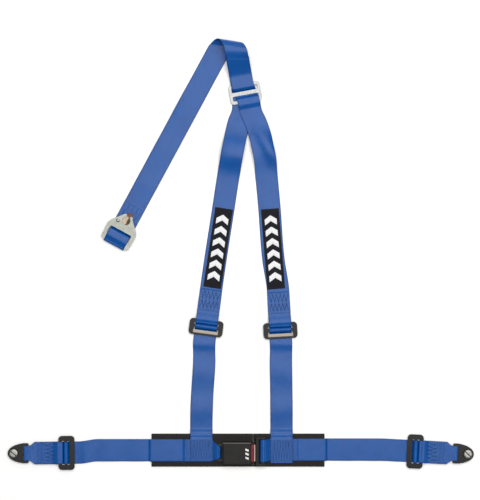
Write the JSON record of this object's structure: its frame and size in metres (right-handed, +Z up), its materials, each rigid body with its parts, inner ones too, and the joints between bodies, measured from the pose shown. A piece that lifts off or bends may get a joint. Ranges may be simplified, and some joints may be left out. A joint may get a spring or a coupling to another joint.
{
  "type": "three-point racing harness",
  "caption": "Three-point racing harness: lap and shoulder webbing, push-button buckle on a split pad, three-bar adjusters, bolt-in lap brackets and a rear strap with a slider and anchor plate.",
  "frame": {"origin": "middle of the bounding box, at the height of the surface the harness lies on", "axes": "+X along the lap belt, from the buckle to its tongue side; +Y from the lap belt along the shoulder straps to the rear slider; +Z up from the surface"},
  "size_m": [1.0428, 0.9637, 0.0353],
  "materials": {
    "webbing": "woven polyester, semi-matt",
    "pad": "black grained synthetic leather, matt",
    "label": "woven label, matt",
    "black_steel": "black coated steel, semi-gloss",
    "buckle_plastic": "black moulded plastic, fine texture",
    "button_plastic": "red moulded plastic",
    "zinc_steel": "zinc-plated steel",
    "bright_steel": "bright nickel-plated steel",
    "spring_steel": "spring steel",
    "coppery_steel": "yellow-passivated sheet steel",
    "fibre": "pressed fibre"
  },
  "bodies": {
    "root": {"buckle_pad_left": "pad", "buckle_top_cover": "buckle_plastic", "buckle_bottom_cover": "buckle_plastic", "buckle_frame": "black_steel", "latch_pin": "spring_steel", "latch_spring": "spring_steel", "button_spring_upper": "spring_steel", "button_spring_lower": "spring_steel", "ejector_spring": "spring_steel", "left_lap_strap": "webbing", "left_lower_shoulder_strap": "webbing"},
    "button": {"release_button": "button_plastic"},
    "latch": {"latch_plate": "zinc_steel"},
    "ejector_block": {"ejector": "buckle_plastic"},
    "tongue_side": {"tongue_plate": "black_steel", "tongue_cover": "buckle_plastic", "buckle_pad_right": "pad", "right_lap_strap": "webbing", "right_lower_shoulder_strap": "webbing"},
    "left_end": {"left_lap_adjuster": "black_steel", "left_lap_end_loop": "webbing"},
    "left_bracket": {"left_lap_bracket": "black_steel", "left_lap_washer": "fibre"},
    "left_bolt": {"left_lap_bolt": "bright_steel"},
    "right_end": {"right_lap_adjuster": "black_steel", "right_lap_end_loop": "webbing"},
    "right_bracket": {"right_lap_bracket": "black_steel", "right_lap_washer": "fibre"},
    "right_bolt": {"right_lap_bolt": "bright_steel"},
    "upper": {"left_and_rear_strap": "webbing", "right_upper_shoulder_strap": "webbing", "left_shoulder_adjuster": "black_steel", "right_shoulder_adjuster": "black_steel", "left_label": "label", "right_label": "label"},
    "slider": {"rear_slider": "bright_steel"},
    "anchor": {"anchor_plate": "zinc_steel", "gate_rivet": "spring_steel"},
    "gate": {"anchor_gate": "coppery_steel"}
  },
  "joints": [
    {"name": "button_press", "type": "slide", "parent": "root", "child": "button", "axis": [-1, 0, 0], "range_m": [0, 0.005], "stiffness_N_per_m": 600, "springref_m": -0.004, "deforming": ["button_spring_upper", "button_spring_lower", "latch_spring"]},
    {"name": "latch_lift", "type": "hinge", "parent": "root", "child": "latch", "pos_m": [-0.024, -0.4425, 0.0166], "axis": [0, -1, 0], "range_deg": [0, 8], "deforming": ["latch_spring"]},
    {"name": "tongue_release", "type": "slide", "parent": "root", "child": "tongue_side", "axis": [1, 0, 0], "range_m": [0, 0.045], "deforming": ["right_lower_shoulder_strap", "ejector_spring"]},
    {"name": "ejector_travel", "type": "slide", "parent": "root", "child": "ejector_block", "axis": [1, 0, 0], "range_m": [0, 0.008], "deforming": ["ejector_spring"]},
    {"name": "left_lap_adjust", "type": "slide", "parent": "root", "child": "left_end", "axis": [1, 0.007, 0], "range_m": [0, 0.045], "deforming": ["left_lap_strap"]},
    {"name": "left_bracket_swing", "type": "hinge", "parent": "left_end", "child": "left_bracket", "pos_m": [-0.47825, -0.44442, 0.0047], "axis": [-0.007, 1, 0], "range_deg": [-45, 60], "deforming": ["left_lap_end_loop"]},
    {"name": "left_bolt_turn", "type": "hinge", "parent": "left_bracket", "child": "left_bolt", "pos_m": [-0.508, -0.44463, 0], "axis": [0, 0, 1], "continuous": true},
    {"name": "right_lap_adjust", "type": "slide", "parent": "tongue_side", "child": "right_end", "axis": [-0.9988, 0.0488, 0], "range_m": [0, 0.045], "deforming": ["right_lap_strap"]},
    {"name": "right_bracket_swing", "type": "hinge", "parent": "right_end", "child": "right_bracket", "pos_m": [0.4783, -0.44492, 0.0047], "axis": [-0.0488, -0.9988, 0], "range_deg": [-45, 60], "deforming": ["right_lap_end_loop"]},
    {"name": "right_bolt_turn", "type": "hinge", "parent": "right_bracket", "child": "right_bolt", "pos_m": [0.50802, -0.44637, 0], "axis": [0, 0, 1], "continuous": true},
    {"name": "shoulder_adjust", "type": "slide", "parent": "root", "child": "upper", "axis": [0, -1, 0], "range_m": [0, 0.06], "deforming": ["left_lower_shoulder_strap", "right_lower_shoulder_strap"]},
    {"name": "rear_slider_adjust", "type": "slide", "parent": "upper", "child": "slider", "axis": [-0.1822, 0.9833, 0], "range_m": [-0.015, 0.015], "deforming": ["left_and_rear_strap", "right_upper_shoulder_strap"]},
    {"name": "anchor_swing", "type": "hinge", "parent": "upper", "child": "anchor", "pos_m": [-0.2824, 0.02588, 0.0062], "axis": [0.8797, -0.4756, 0], "range_deg": [0, 60], "deforming": ["left_and_rear_strap"]},
    {"name": "gate_open", "type": "hinge", "parent": "anchor", "child": "gate", "pos_m": [-0.27428, 0.07663, 0], "axis": [0, 0, 1], "range_deg": [-25, 0], "stiffness_Nm_per_rad": 0.05, "springref_deg": 5.73}
  ],
  "couplings": [
    {"joint": "latch_lift", "follows": "button_press", "rad_per_m": 27.9},
    {"joint": "ejector_travel", "follows": "tongue_release", "ratio": 0.1777}
  ]
}
